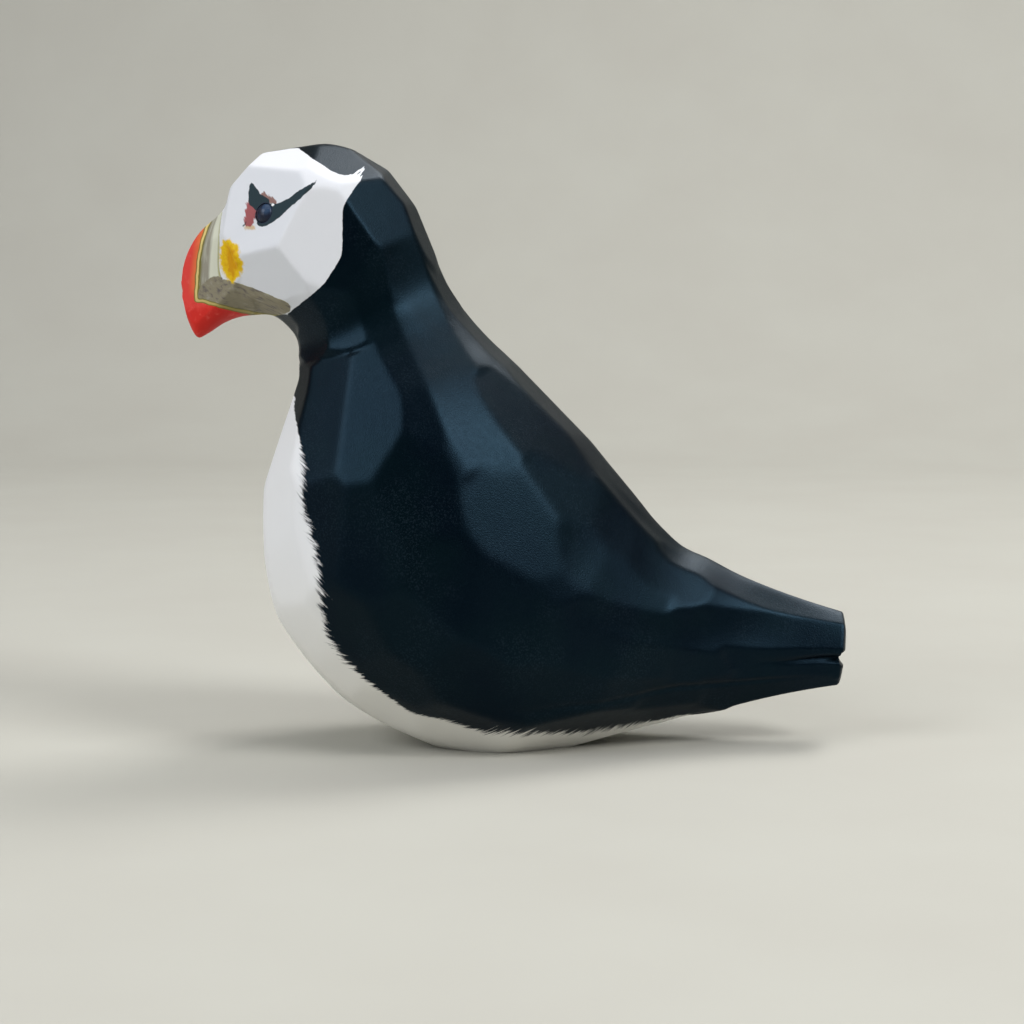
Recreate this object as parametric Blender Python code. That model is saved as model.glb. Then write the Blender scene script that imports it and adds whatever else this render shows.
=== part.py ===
"""A hand-carved puffin of painted wood that sits on its belly, with two bead eyes.

Metres, +Z up. The beak points to -X and the bird's left side faces -Y. The origin is under
the middle of the bird, in the plane of the flat that it stands on.
"""
import math
import random

import bmesh
import bpy
import numpy as np
from mathutils import Matrix, Vector

# Driving size: the bird from the front of the beak to the end of the tail.
LENGTH = 0.120

# The sections that the block is carved through, from the beak to the tail. Each runs from a
# point on the back to a point on the belly and is given in hundredths of LENGTH: back x and z,
# belly x and z, half width, then the height of the widest place as a share of the section, and
# how full the section is above and below it, where 2 is an ellipse and less is more pointed.
SECTIONS = [
    (-49.3, 69.6, -49.1, 66.6, 0.9, 0.50, 2.0, 2.0),
    (-49.0, 71.8, -48.4, 63.6, 1.6, 0.50, 1.8, 2.0),
    (-48.1, 74.3, -47.1, 61.2, 2.6, 0.48, 1.7, 1.9),
    (-46.3, 77.0, -45.5, 61.7, 3.8, 0.46, 1.7, 1.8),
    (-42.9, 80.2, -43.0, 63.3, 5.6, 0.44, 1.8, 1.8),
    (-41.4, 84.4, -40.6, 64.2, 7.0, 0.46, 2.0, 1.8),
    (-38.5, 87.7, -38.0, 64.5, 9.0, 0.48, 2.1, 1.9),
    (-32.8, 89.4, -36.2, 64.5, 11.4, 0.48, 2.2, 2.0),
    (-26.5, 89.7, -34.9, 64.0, 12.5, 0.49, 2.2, 2.1),
    (-20.2, 87.4, -33.7, 63.0, 12.4, 0.50, 2.1, 2.1),
    (-15.5, 83.2, -32.5, 61.6, 11.6, 0.50, 2.0, 2.1),
    (-12.5, 76.8, -31.9, 59.9, 10.5, 0.50, 1.9, 2.1),
    (-10.0, 70.3, -32.0, 57.9, 10.5, 0.50, 1.8, 2.1),
    (-7.4, 65.9, -32.5, 55.0, 12.1, 0.50, 1.8, 2.1),
    (-4.4, 62.1, -33.6, 51.0, 14.5, 0.50, 1.8, 2.1),
    (-0.8, 58.5, -35.3, 46.2, 17.0, 0.50, 1.8, 2.1),
    (3.2, 54.8, -37.2, 39.4, 19.1, 0.49, 1.8, 2.1),
    (7.4, 50.5, -37.6, 30.8, 21.0, 0.47, 1.8, 2.1),
    (11.4, 46.1, -36.1, 21.0, 22.4, 0.45, 1.8, 2.1),
    (15.0, 41.7, -31.0, 12.6, 22.8, 0.44, 1.8, 2.0),
    (18.4, 37.6, -23.6, 4.9, 22.2, 0.43, 1.7, 1.9),
    (21.8, 33.4, -13.4, -0.4, 20.5, 0.42, 1.7, 1.8),
    (25.6, 29.9, -1.2, -2.8, 17.5, 0.41, 1.7, 1.9),
    (29.8, 27.9, 10.5, -0.5, 13.6, 0.40, 1.7, 2.0),
    (34.4, 25.7, 20.5, 1.9, 10.2, 0.40, 1.6, 2.0),
    (39.2, 23.8, 29.5, 3.4, 7.7, 0.42, 1.5, 2.0),
    (44.3, 22.0, 38.2, 5.4, 6.1, 0.44, 1.5, 2.1),
    (50.0, 20.2, 49.0, 7.4, 5.0, 0.47, 1.6, 2.2),
]

# The knife cuts of the left side, in rows from head to tail. A cut's place is a section's number
# in the list above and an angle round that section, from 0 on the back to 180 on the belly. A
# cut is as long as the way to its neighbours, and as wide as its row, in hundredths of LENGTH.
CUT_ROWS = [
    ("spine", 5.5, (
        (9.0, 12), (9.9, 12), (11.0, 13), (12.5, 13), (14.3, 12), (16.6, 11), (18.8, 12),
    )),
    ("back", 10.0, ((16.4, 37), (17.5, 31), (18.9, 36), (20.4, 32), (22.0, 34))),
    ("wing", 11.0, ((18.8, 57), (20.0, 44), (21.3, 44))),
    ("under the wing", 9.0, (
        (17.1, 84), (18.9, 86), (20.3, 78), (21.8, 74), (23.3, 80), (24.8, 92), (26.2, 99),
    )),
    ("side", 9.0, (
        (17.8, 104), (19.4, 107), (20.6, 105), (21.9, 96), (23.2, 98), (24.5, 110), (25.9, 120),
    )),
    ("low side", 9.0, ((17.2, 121), (18.7, 124), (19.8, 126))),
    ("white side", 8.0, (
        (13.9, 154), (15.4, 153), (16.6, 148), (17.6, 144), (18.5, 146), (19.3, 144), (20.1, 142),
        (21.0, 134), (22.4, 130), (23.8, 128),
    )),
    ("keel", 8.0, (
        (15.3, 180), (16.8, 180), (17.7, 180), (18.7, 180), (19.6, 180), (20.5, 180), (22.8, 180),
        (24.2, 180), (25.4, 180), (26.4, 180),
    )),
]

# Single cuts on the left side: place, then length along the bird and width across it.
SINGLE_CUTS = [
    ("forehead", 5.6, 0, 5.0, 6.0),
    ("front of the crown", 7.2, 0, 6.0, 5.0),
    ("side of the crown", 6.9, 27, 9.0, 7.0),
    ("crown", 8.4, 29, 9.0, 8.0),
    ("face", 6.2, 63, 10.0, 13.0),
    ("behind the eye", 8.8, 89, 11.0, 12.0),
    ("side of the beak", 3.1, 84, 6.5, 9.0),
    ("cheek", 7.5, 122, 8.0, 7.0),
    ("jaw", 9.6, 112, 5.0, 6.0),
    ("chin", 8.2, 155, 7.0, 6.0),
    ("back of the head", 9.8, 47, 9.0, 9.0),
    ("front of the shoulder", 15.0, 100, 20.0, 7.0),
    ("breast", 14.9, 121, 21.0, 8.0),
]

# Long cuts down the hollows of the neck and the back, which are flat across and follow the form along.
HOLLOW_CUTS = [
    ("behind the cheek", 11.5, 80, 12.0, 6.5),
    ("below the cheek", 11.6, 107, 9.0, 7.0),
    ("throat", 11.3, 140, 8.0, 8.0),
    ("side of the breast", 14.5, 78, 13.0, 8.0),
    ("nape", 11.9, 50, 10.0, 7.5),
    ("shoulder", 15.3, 54, 19.0, 10.0),
    ("root of the tail", 21.9, 11, 24.0, 5.5),
    ("top of the tail", 25.2, 18, 22.0, 7.0),
    ("wing over the tail", 24.4, 60, 30.0, 9.0),
]

# The crease between the head and the breast, on both sides: places along it, and how deep it is
# there. It is this wide to either side, in hundredths of LENGTH too, and no cut crosses it.
CREASE = (
    (12.2, 180, 0.3), (12.3, 157, 0.5), (12.6, 121, 0.7),
    (12.8, 106, 0.8), (12.9, 95, 0.5), (12.8, 86, 0.0),
)
CREASE_WIDTH = 1.1

# Grooves on both sides: how wide each is to either side, then places along it and its depth.
GROOVES = [
    ("edge of the wing", 0.7, (
        (20.9, 119, 0.0), (22.1, 104, 0.3), (24.0, 102, 0.4), (25.7, 112, 0.2), (26.6, 118, 0.0),
    )),
    ("wing tip over the tail", 0.9, ((25.2, 80, 0.0), (26.0, 87, 0.3), (26.6, 90, 0.7), (27.0, 93, 1.3))),
]

# The grid that the form is worked out on, before it is reduced to the fewest faces.
ROWS_ALONG = 360
COLUMNS_AROUND = 240

# How many triangles the carved body keeps, and the shortest edge left by the saw.
TRIANGLES_LEFT = 7600
SLIVER = 0.00002
# Edges sharper than this many degrees are shaded as edges.
SHARP_ANGLE = 30

# The two eyes: a bead's place on the left side, its size, how far it stands out of the wood and
# the space round it in its socket.
EYE = (6.32, 74.2)
EYE_DIAMETER = 0.0042
EYE_STANDS_OUT = EYE_DIAMETER / 5
EYE_GAP = 0.0003
EYE_SEGMENTS = 24

# The main paint and the beads, in linear colour.
WOOD_COLOUR = (0.02, 0.03, 0.04)
WOOD_ROUGHNESS = 0.45
BEAD_COLOUR = (0.03, 0.05, 0.09)
BEAD_ROUGHNESS = 0.10

# How the two ends close: the end section shrinks over this many rings, and stands out this far.
END_RINGS = 12
BEAK_END_BULGE = 0.002 * LENGTH
TAIL_END_BULGE = 0.010 * LENGTH
# The groove under the wing tips goes on across the end of the tail, at the height of this place.
NOTCH = (27.0, 93)
NOTCH_DEPTH = 0.012 * LENGTH
NOTCH_WIDTH = 0.012 * LENGTH

# How a knife cuts: the middle of a cut lies this share of its full depth under the smooth form,
# a cut on flat or hollow wood is scooped by this share of its size, and no ridge between cuts
# stands further out than this share of the section's half width, or than this in all.
CUT_SINK = 0.85
SCOOP = 0.008
RIDGE_SHARE = 0.012
RIDGE_LIMIT = 0.0015 * LENGTH
DEEPEST_CUT = 0.020 * LENGTH
# A cut ends past this share of its own size, and where the wood beside it rises by this share,
# and then runs out this steeply. Cuts of a row overlap by this factor.
CUT_REACH = 0.80
CUT_RISE = 0.04
STEEPNESS = 3.0
ROW_OVERLAP = 1.15
# A cut works on skin that faces its own way by more than this cosine. The form's curve under a
# cut is measured within this share of the cut's size.
FACING = 0.25
CURVE_REACH = 0.45
CURVE_FACING = 0.5
# Cuts stop this sharply at the crease, but above its end they may run past it, by this many
# sections for each degree.
CREASE_STOP = 4.0
CREASE_OPENS = 3.0
# The right side's cuts lie off the left side's by up to this many sections and degrees.
RIGHT_SLIP = 0.15
RIGHT_TURN = 3.0
# How many places a groove's line is worked out at, and the step, in sections and radians, that
# the skin's directions are measured over.
GROOVE_STEPS = 60
SKIN_STEP = 0.02
# The paint softens the ridges between cuts by about this much, and evens the grid out.
RIDGE_SOFTNESS = 0.00005
RIDGE_SMOOTHINGS = 2


def sections_at(rows):
    """The sections at the given places along the list, blended smoothly between its rows."""
    table = np.array(SECTIONS)
    table[:, :5] *= LENGTH / 100
    last = len(table) - 1
    low = np.clip(np.floor(rows).astype(int), 0, last - 1)
    part = (rows - low)[:, None]
    before = table[np.clip(low - 1, 0, last)]
    first = table[low]
    second = table[low + 1]
    after = table[np.clip(low + 2, 0, last)]
    return 0.5 * (
        2 * first
        + (second - before) * part
        + (2 * before - 5 * first + 4 * second - after) * part**2
        + (3 * first - before - 3 * second + after) * part**3
    )


def rings_at(rows, turn):
    """Rings of points for the given sections, at the given angles from the back."""
    back = rows[:, None, 0:2]
    belly = rows[:, None, 2:4]
    half_width, widest, above, below = (rows[:, None, column] for column in (4, 5, 6, 7))
    cosine = np.cos(turn)
    sine = np.sin(turn)
    power = 2 / np.where(cosine > 0, above, below)
    reach = np.abs(cosine) ** power
    height = np.where(cosine > 0, widest + (1 - widest) * reach, widest * (1 - reach))
    middle = belly + (back - belly) * height[..., None]
    side = -half_width * np.sign(sine) * np.abs(sine) ** power
    return np.stack([middle[..., 0], side, middle[..., 1]], axis=-1)


def smooth_form(along, around):
    """The form before any cut, as a grid of points from the beak to the tail and around."""
    turn = (np.arange(around) * 2 * math.pi / around)[None, :]
    return rings_at(sections_at(np.linspace(0, len(SECTIONS) - 1, along)), turn)


def normals_of(grid):
    """The outward normal at each point of a grid."""
    around = np.roll(grid, -1, axis=1) - np.roll(grid, 1, axis=1)
    along = np.gradient(grid, axis=0)
    normals = np.cross(around, along)
    size = np.linalg.norm(normals, axis=-1, keepdims=True)
    return normals / np.maximum(size, 1e-12)


def skin_frame(section, angle):
    """The place, the outward normal and the direction to the tail at an address on the form."""
    turn = math.radians(angle)
    steps = np.array([-SKIN_STEP, 0, SKIN_STEP])
    rows = sections_at(np.clip(section + steps, 0, len(SECTIONS) - 1))
    around = rings_at(rows, np.tile(turn + steps, (len(steps), 1)))
    place = around[1, 1]
    along = around[2, 1] - around[0, 1]
    across = around[1, 2] - around[1, 0]
    normal = np.cross(across, along)
    normal /= np.linalg.norm(normal)
    along /= np.linalg.norm(along)
    return place, normal, along


def row_lengths(places):
    """How long each cut of a row is, from the places of the row's cuts."""
    steps = np.linalg.norm(np.diff(places, axis=0), axis=1)
    before = np.concatenate([steps[:1], steps])
    after = np.concatenate([steps, steps[-1:]])
    return ROW_OVERLAP * (before + after) / 2


def planned_cuts(seed):
    """Every cut as (section, angle, length, width, follows), for both sides, a little irregular."""
    chance = random.Random(seed)
    cuts = []
    for side in (1, -1):
        for _, width, addresses in CUT_ROWS:
            on_middle = addresses[0][1] == 180
            if on_middle and side < 0:
                continue
            places = np.array([skin_frame(*address)[0] for address in addresses])
            for (section, angle), length in zip(addresses, row_lengths(places)):
                slip = 0 if side > 0 else chance.uniform(-RIGHT_SLIP, RIGHT_SLIP)
                turn = 0 if side > 0 else chance.uniform(-RIGHT_TURN, RIGHT_TURN)
                cuts.append((section + slip, side * (angle + turn), length, width * LENGTH / 100, False))
        for singles, follows in ((SINGLE_CUTS, False), (HOLLOW_CUTS, True)):
            for _, section, angle, length, width in singles:
                size = (length * LENGTH / 100, width * LENGTH / 100)
                cuts.append((section, side * angle, *size, follows))
    return cuts


def curvature(points, normals, place, normal, along, across, radius):
    """How strongly the form curves at a place, along and across a cut; positive is round."""
    offset = points - place
    near = (np.linalg.norm(offset, axis=1) < radius) & (normals @ normal > CURVE_FACING)
    offset = offset[near]
    a = offset @ along
    b = offset @ across
    rise = offset @ normal
    terms = np.stack([a * a, a * b, b * b, a, b, np.ones_like(a)], axis=1)
    answer = np.linalg.lstsq(terms, rise, rcond=None)[0]
    return -2 * answer[0], -2 * answer[2]


def past_crease(section, angle):
    """How many sections an address lies behind the crease, and how far a cut may cross it."""
    sections, angles, _ = np.array(CREASE[::-1]).T
    crossing = CREASE_OPENS * np.maximum(angles[0] - np.abs(angle), 0)
    return section - np.interp(np.abs(angle), angles, sections), crossing


def cut_depth(points, normals, addresses, cut):
    """How deep one cut goes at each point of the form, with minus where it stays outside."""
    section, angle, length, width, follows = cut
    place, normal, along = skin_frame(section, angle)
    across = np.cross(normal, along)
    small = min(length, width)
    radius = CURVE_REACH * max(length, width)
    bend_along, bend_across = curvature(points, normals, place, normal, along, across, radius)
    if follows:
        bend_along = 0
    full = max(bend_along, 0) * length**2 / 8 + max(bend_across, 0) * width**2 / 8
    full = min(full, DEEPEST_CUT) + SCOOP * small
    scoop_along = max(0, 8 * SCOOP * small / length**2 - bend_along)
    scoop_across = max(0, 8 * SCOOP * small / width**2 - bend_across)
    offset = points - place
    a = offset @ along
    b = offset @ across
    rise = -bend_across * b * b / 2 if follows else offset @ normal
    past = np.maximum(np.abs(a) / length - CUT_REACH, 0) + np.maximum(np.abs(b) / width - CUT_REACH, 0)
    past += STEEPNESS * np.maximum(rise / small - CUT_RISE, 0)
    behind, crossing = past_crease(*addresses)
    own_behind, own_crossing = past_crease(section, angle)
    beyond = -math.copysign(1, own_behind) * behind
    past += CREASE_STOP * np.maximum(beyond - np.minimum(crossing, own_crossing), 0)
    bottom = -CUT_SINK * full + scoop_along * a * a / 2 + scoop_across * b * b / 2
    bottom += STEEPNESS * past**2 * small
    agree = normals @ normal
    depth = rise - bottom if follows else (rise - bottom) / np.maximum(agree, FACING)
    return np.where(agree > FACING, depth, -np.inf)


def groove_depth(points, half_width, addresses, side):
    """How deep a groove or a crease goes at each point of the form."""
    sections, angles, depths = np.array(addresses, dtype=float).T
    fine = np.linspace(0, len(addresses) - 1, GROOVE_STEPS)
    stops = np.arange(len(addresses))
    run = zip(np.interp(fine, stops, sections), side * np.interp(fine, stops, angles))
    places = np.array([skin_frame(section, angle)[0] for section, angle in run])
    depths = np.interp(fine, stops, depths) * LENGTH / 100
    nearest = np.zeros(len(points), dtype=int)
    away = np.full(len(points), np.inf)
    for step, place in enumerate(places):
        distance = np.linalg.norm(points - place, axis=1)
        nearest[distance < away] = step
        away = np.minimum(away, distance)
    share = 1 - away / (half_width * LENGTH / 100)
    return depths[nearest] * np.maximum(share, 0)


def carve(grid, rows, cuts):
    """The grid of points after the cuts: every cut leaves a flat or slightly scooped facet."""
    shape = grid.shape
    points = grid.reshape(-1, 3)
    normals = normals_of(grid).reshape(-1, 3)
    turns = (np.arange(shape[1]) * 360 / shape[1] + 180) % 360 - 180
    addresses = (np.repeat(rows, shape[1]), np.tile(turns, shape[0]))
    half_widths = sections_at(rows)[:, 4]
    ridge = np.minimum(RIDGE_LIMIT, RIDGE_SHARE * half_widths)
    depth = -np.repeat(ridge, shape[1])
    for cut in cuts:
        own = cut_depth(points, normals, addresses, cut)
        depth = RIDGE_SOFTNESS * np.logaddexp(depth / RIDGE_SOFTNESS, own / RIDGE_SOFTNESS)
    for side in (1, -1):
        depth = np.maximum(depth, groove_depth(points, CREASE_WIDTH, CREASE, side))
        for _, half_width, line in GROOVES:
            depth += groove_depth(points, half_width, line, side)
    depth = depth.reshape(shape[:2])
    for _ in range(RIDGE_SMOOTHINGS):
        beside = (np.roll(depth, 1, axis=1) + np.roll(depth, -1, axis=1)) / 2
        ahead = np.pad(depth, ((1, 1), (0, 0)), mode="edge")
        depth = depth / 2 + beside / 4 + (ahead[:-2] + ahead[2:]) / 8
    return grid - depth[..., None] * normals.reshape(shape)


def end_rings(ring, bulge):
    """Rings that close an end, from the outermost inwards, standing out by the bulge."""
    centre = ring.mean(axis=0)
    rings = []
    for step in range(1, END_RINGS + 1):
        share = step / (END_RINGS + 0.5)
        outwards = bulge * math.sin(share * math.pi / 2)
        shrunk = centre + (ring - centre) * math.cos(share * math.pi / 2)
        rings.append(shrunk + np.array([outwards, 0, 0]))
    return np.array(rings)


def carved_bird(along, around, seed=7):
    """The carved form as a grid of points, with both ends closed."""
    rows = np.linspace(0, len(SECTIONS) - 1, along)
    grid = carve(smooth_form(along, around), rows, planned_cuts(seed))
    beak = end_rings(grid[0], -BEAK_END_BULGE)[::-1]
    tail = end_rings(grid[-1], TAIL_END_BULGE)
    notch_height = skin_frame(*NOTCH)[0][2]
    share = 1 - np.abs(tail[..., 2] - notch_height) / NOTCH_WIDTH
    tail[..., 0] -= NOTCH_DEPTH * np.maximum(share, 0)
    return np.concatenate([beak, grid, tail])


def grid_mesh(name, grid):
    """A closed mesh from a grid of rings, with both ends filled."""
    rows, columns = grid.shape[:2]
    faces = []
    for row in range(rows - 1):
        for column in range(columns):
            beside = (column + 1) % columns
            faces.append((
                row * columns + column,
                (row + 1) * columns + column,
                (row + 1) * columns + beside,
                row * columns + beside,
            ))
    faces.append(tuple(range(columns)))
    faces.append(tuple((rows - 1) * columns + column for column in reversed(range(columns))))
    mesh = bpy.data.meshes.new(name)
    mesh.from_pydata(grid.reshape(-1, 3).tolist(), [], faces)
    return mesh


def applied(thing):
    """The mesh of an object with its modifiers applied."""
    depsgraph = bpy.context.evaluated_depsgraph_get()
    return bpy.data.meshes.new_from_object(thing.evaluated_get(depsgraph))


def saw_flat(mesh):
    """Saws the form off at the plane that it stands on, and closes the cut."""
    work = bmesh.new()
    work.from_mesh(mesh)
    whole = work.verts[:] + work.edges[:] + work.faces[:]
    ground = {"plane_co": (0, 0, 0), "plane_no": (0, 0, 1)}
    sawn = bmesh.ops.bisect_plane(work, geom=whole, clear_inner=True, **ground)
    rim = [piece for piece in sawn["geom_cut"] if isinstance(piece, bmesh.types.BMEdge)]
    bmesh.ops.holes_fill(work, edges=rim, sides=0)
    work.to_mesh(mesh)
    work.free()


def tidy_edges(mesh):
    """Closes up the very short edges that cuts leave."""
    work = bmesh.new()
    work.from_mesh(mesh)
    bmesh.ops.dissolve_degenerate(work, dist=SLIVER, edges=work.edges[:])
    bmesh.ops.recalc_face_normals(work, faces=work.faces[:])
    work.to_mesh(mesh)
    work.free()


def ball_mesh(name, centre, radius):
    """A ball as a mesh."""
    work = bmesh.new()
    rings = EYE_SEGMENTS // 2
    place = Matrix.Translation(centre)
    bmesh.ops.create_uvsphere(work, u_segments=EYE_SEGMENTS, v_segments=rings, radius=radius, matrix=place)
    mesh = bpy.data.meshes.new(name)
    work.to_mesh(mesh)
    work.free()
    return mesh


def eye_centre(grid, side):
    """The middle of an eye's ball, just under the carved skin."""
    section, angle = EYE
    around = grid.shape[1]
    row = END_RINGS + round(section / (len(SECTIONS) - 1) * (len(grid) - 2 * END_RINGS - 1))
    column = round(side * angle / 360 * around) % around
    skin = Vector(grid[row, column])
    outwards = Vector(normals_of(grid)[row, column])
    return skin + outwards * (EYE_STANDS_OUT - EYE_DIAMETER / 2)


def paint(name, colour, roughness):
    """A plain material."""
    material = bpy.data.materials.new(name)
    material.use_nodes = True
    surface = material.node_tree.nodes["Principled BSDF"]
    surface.inputs["Base Color"].default_value = (*colour, 1)
    surface.inputs["Roughness"].default_value = roughness
    return material


def show(name, mesh, material):
    """Links a finished piece into the scene."""
    mesh.materials.clear()
    mesh.materials.append(material)
    mesh.polygons.foreach_set("use_smooth", [True] * len(mesh.polygons))
    mesh.set_sharp_from_angle(angle=math.radians(SHARP_ANGLE))
    bpy.context.scene.collection.objects.link(bpy.data.objects.new(name, mesh))


def main():
    for old in list(bpy.data.objects):
        bpy.data.objects.remove(old)
    grid = carved_bird(ROWS_ALONG, COLUMNS_AROUND)

    bird = bpy.data.objects.new("bird", grid_mesh("bird", grid))
    bpy.context.scene.collection.objects.link(bird)
    reduce = bird.modifiers.new("reduce", "DECIMATE")
    reduce.ratio = TRIANGLES_LEFT / (2 * len(grid) * grid.shape[1])
    bird.data = applied(bird)
    bird.modifiers.clear()
    saw_flat(bird.data)

    eyes = {"eye_left": eye_centre(grid, 1), "eye_right": eye_centre(grid, -1)}
    for name, centre in eyes.items():
        socket = bpy.data.objects.new("socket", ball_mesh("socket", centre, EYE_DIAMETER / 2 + EYE_GAP))
        bpy.context.scene.collection.objects.link(socket)
        hollow = bird.modifiers.new("hollow", "BOOLEAN")
        hollow.operation = "DIFFERENCE"
        hollow.solver = "EXACT"
        hollow.object = socket
        bird.data = applied(bird)
        bird.modifiers.clear()
        bpy.data.objects.remove(socket)

    body = bird.data
    bpy.data.objects.remove(bird)
    tidy_edges(body)
    corners = np.array([corner.co for corner in body.vertices])
    middle = (corners.min(axis=0) + corners.max(axis=0)) / 2
    shift = Matrix.Translation((-middle[0], -middle[1], 0))
    body.transform(shift)
    show("bird", body, paint("painted_wood", WOOD_COLOUR, WOOD_ROUGHNESS))
    for name, centre in eyes.items():
        ball = ball_mesh(name, shift @ centre, EYE_DIAMETER / 2)
        show(name, ball, paint(name + "_bead", BEAD_COLOUR, BEAD_ROUGHNESS))


if __name__ == "__main__":
    main()
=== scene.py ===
"""The looks of a hand-carved, painted wooden puffin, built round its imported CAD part.

Metres, +Z up, in the part's own frame: the beak points to -X and the bird's left side faces
-Y. The carved form is worked out again on a grid that is finer than the part's own solid, so
that the borders of its paint can be kept on the grid's points.
"""

import math
import random

import bmesh
import bpy
import numpy as np
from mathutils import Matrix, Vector


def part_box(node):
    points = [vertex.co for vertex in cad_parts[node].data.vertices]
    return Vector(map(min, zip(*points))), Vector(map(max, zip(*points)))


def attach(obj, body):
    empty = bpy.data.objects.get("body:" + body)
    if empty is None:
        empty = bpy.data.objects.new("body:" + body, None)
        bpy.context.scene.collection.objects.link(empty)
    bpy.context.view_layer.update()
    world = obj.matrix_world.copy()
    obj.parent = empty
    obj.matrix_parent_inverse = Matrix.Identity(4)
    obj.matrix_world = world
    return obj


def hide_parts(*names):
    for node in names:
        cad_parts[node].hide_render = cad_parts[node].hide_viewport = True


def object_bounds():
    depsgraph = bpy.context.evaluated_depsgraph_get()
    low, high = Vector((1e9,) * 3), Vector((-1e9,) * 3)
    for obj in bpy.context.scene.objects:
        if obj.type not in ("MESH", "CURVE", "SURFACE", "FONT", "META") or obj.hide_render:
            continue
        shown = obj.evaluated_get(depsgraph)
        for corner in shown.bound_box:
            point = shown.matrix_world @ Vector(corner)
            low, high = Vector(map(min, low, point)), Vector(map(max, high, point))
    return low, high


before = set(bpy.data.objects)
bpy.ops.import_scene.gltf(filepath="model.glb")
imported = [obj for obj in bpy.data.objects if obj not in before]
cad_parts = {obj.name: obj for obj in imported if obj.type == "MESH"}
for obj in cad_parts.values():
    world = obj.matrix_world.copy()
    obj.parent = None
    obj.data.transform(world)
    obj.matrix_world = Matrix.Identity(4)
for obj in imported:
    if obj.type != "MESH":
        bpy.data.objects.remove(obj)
CAD_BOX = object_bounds()

# Driving size: the bird from the front of the beak to the end of the tail, as it is in the part.
LENGTH = CAD_BOX[1].x - CAD_BOX[0].x

# The sections that the block is carved through, from the beak to the tail. Each runs from a
# point on the back to a point on the belly and is given in hundredths of LENGTH: back x and z,
# belly x and z, half width, then the height of the widest place as a share of the section, and
# how full the section is above and below it, where 2 is an ellipse and less is more pointed.
SECTIONS = [
    (-49.3, 69.6, -49.1, 66.6, 0.9, 0.50, 2.0, 2.0),
    (-49.0, 71.8, -48.4, 63.6, 1.6, 0.50, 1.8, 2.0),
    (-48.1, 74.3, -47.1, 61.2, 2.6, 0.48, 1.7, 1.9),
    (-46.3, 77.0, -45.5, 61.7, 3.8, 0.46, 1.7, 1.8),
    (-42.9, 80.2, -43.0, 63.3, 5.6, 0.44, 1.8, 1.8),
    (-41.4, 84.4, -40.6, 64.2, 7.0, 0.46, 2.0, 1.8),
    (-38.5, 87.7, -38.0, 64.5, 9.0, 0.48, 2.1, 1.9),
    (-32.8, 89.4, -36.2, 64.5, 11.4, 0.48, 2.2, 2.0),
    (-26.5, 89.7, -34.9, 64.0, 12.5, 0.49, 2.2, 2.1),
    (-20.2, 87.4, -33.7, 63.0, 12.4, 0.50, 2.1, 2.1),
    (-15.5, 83.2, -32.5, 61.6, 11.6, 0.50, 2.0, 2.1),
    (-12.5, 76.8, -31.9, 59.9, 10.5, 0.50, 1.9, 2.1),
    (-10.0, 70.3, -32.0, 57.9, 10.5, 0.50, 1.8, 2.1),
    (-7.4, 65.9, -32.5, 55.0, 12.1, 0.50, 1.8, 2.1),
    (-4.4, 62.1, -33.6, 51.0, 14.5, 0.50, 1.8, 2.1),
    (-0.8, 58.5, -35.3, 46.2, 17.0, 0.50, 1.8, 2.1),
    (3.2, 54.8, -37.2, 39.4, 19.1, 0.49, 1.8, 2.1),
    (7.4, 50.5, -37.6, 30.8, 21.0, 0.47, 1.8, 2.1),
    (11.4, 46.1, -36.1, 21.0, 22.4, 0.45, 1.8, 2.1),
    (15.0, 41.7, -31.0, 12.6, 22.8, 0.44, 1.8, 2.0),
    (18.4, 37.6, -23.6, 4.9, 22.2, 0.43, 1.7, 1.9),
    (21.8, 33.4, -13.4, -0.4, 20.5, 0.42, 1.7, 1.8),
    (25.6, 29.9, -1.2, -2.8, 17.5, 0.41, 1.7, 1.9),
    (29.8, 27.9, 10.5, -0.5, 13.6, 0.40, 1.7, 2.0),
    (34.4, 25.7, 20.5, 1.9, 10.2, 0.40, 1.6, 2.0),
    (39.2, 23.8, 29.5, 3.4, 7.7, 0.42, 1.5, 2.0),
    (44.3, 22.0, 38.2, 5.4, 6.1, 0.44, 1.5, 2.1),
    (50.0, 20.2, 49.0, 7.4, 5.0, 0.47, 1.6, 2.2),
]

# The knife cuts of the left side, in rows from head to tail. A cut's place is a section's number
# in the list above and an angle round that section, from 0 on the back to 180 on the belly. A
# cut is as long as the way to its neighbours, and as wide as its row, in hundredths of LENGTH.
CUT_ROWS = [
    ("spine", 5.5, (
        (9.0, 12), (9.9, 12), (11.0, 13), (12.5, 13), (14.3, 12), (16.6, 11), (18.8, 12),
    )),
    ("back", 10.0, ((16.4, 37), (17.5, 31), (18.9, 36), (20.4, 32), (22.0, 34))),
    ("wing", 11.0, ((18.8, 57), (20.0, 44), (21.3, 44))),
    ("under the wing", 9.0, (
        (17.1, 84), (18.9, 86), (20.3, 78), (21.8, 74), (23.3, 80), (24.8, 92), (26.2, 99),
    )),
    ("side", 9.0, (
        (17.8, 104), (19.4, 107), (20.6, 105), (21.9, 96), (23.2, 98), (24.5, 110), (25.9, 120),
    )),
    ("low side", 9.0, ((17.2, 121), (18.7, 124), (19.8, 126))),
    ("white side", 8.0, (
        (13.9, 154), (15.4, 153), (16.6, 148), (17.6, 144), (18.5, 146), (19.3, 144), (20.1, 142),
        (21.0, 134), (22.4, 130), (23.8, 128),
    )),
    ("keel", 8.0, (
        (15.3, 180), (16.8, 180), (17.7, 180), (18.7, 180), (19.6, 180), (20.5, 180), (22.8, 180),
        (24.2, 180), (25.4, 180), (26.4, 180),
    )),
]

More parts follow.
